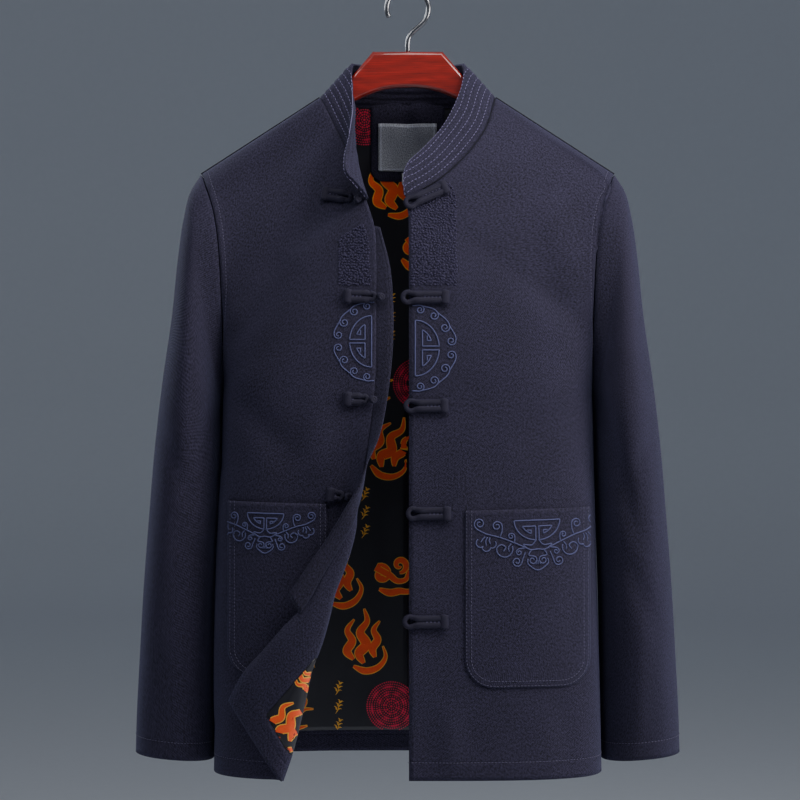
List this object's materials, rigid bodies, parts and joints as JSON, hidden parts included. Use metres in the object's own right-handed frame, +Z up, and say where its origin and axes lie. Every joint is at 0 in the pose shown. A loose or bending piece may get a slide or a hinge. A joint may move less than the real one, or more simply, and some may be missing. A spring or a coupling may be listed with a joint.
{
  "type": "tang jacket on a hanger",
  "caption": "Men's straight-cut jacket with stand collar, frog fasteners and patch pockets, hanging open on a wooden hanger with a wire hook, one lower front corner turned back.",
  "frame": {"origin": "the inside top of the hanger's hook, where a rail carries it", "axes": "+X towards the jacket's own left side, -Y towards its front, +Z up out of the hanging jacket through the hook's top"},
  "size_m": [0.589, 0.2428, 0.8466],
  "materials": {
    "jacket_cloth": "dark navy twill, matt, with a faint sheen",
    "collar_cloth": "dark navy twill in rows of topstitching",
    "facing_cloth": "dark navy twill, matt",
    "lining_satin": "black satin with a woven pattern in orange and red",
    "label_cloth": "charcoal woven label, bare",
    "frog_cord": "dark navy covered cord, stitched",
    "lacquered_wood": "clear lacquer over red-brown wood",
    "hook_wire": "polished"
  },
  "bodies": {
    "root": {"front_left": "jacket_cloth", "front_right": "jacket_cloth", "back": "jacket_cloth", "sleeve_left": "jacket_cloth", "sleeve_right": "jacket_cloth", "underlap": "jacket_cloth", "pocket_left": "jacket_cloth", "pocket_right": "jacket_cloth", "collar": "collar_cloth", "facing_right": "facing_cloth", "neck_facing": "facing_cloth", "lining_back": "lining_satin", "lining_right": "lining_satin", "size_tab": "lining_satin", "label": "label_cloth", "frog_loop_1": "frog_cord", "frog_loop_2": "frog_cord", "frog_loop_3": "frog_cord", "frog_loop_4": "frog_cord", "frog_loop_5": "frog_cord", "frog_loop_tab_1": "frog_cord", "frog_loop_tab_2": "frog_cord", "frog_loop_tab_3": "frog_cord", "frog_loop_tab_4": "frog_cord", "frog_loop_tab_5": "frog_cord", "frog_strap_1": "frog_cord", "frog_strap_2": "frog_cord", "frog_strap_3": "frog_cord", "frog_strap_4": "frog_cord", "frog_strap_5": "frog_cord", "frog_strap_tab_1": "frog_cord", "frog_strap_tab_2": "frog_cord", "frog_strap_tab_3": "frog_cord", "frog_strap_tab_4": "frog_cord", "frog_strap_tab_5": "frog_cord", "frog_knot_1": "frog_cord", "frog_knot_2": "frog_cord", "frog_knot_3": "frog_cord", "frog_knot_4": "frog_cord", "frog_knot_5": "frog_cord", "hanger": "lacquered_wood", "hook": "hook_wire"}
  },
  "joints": []
}
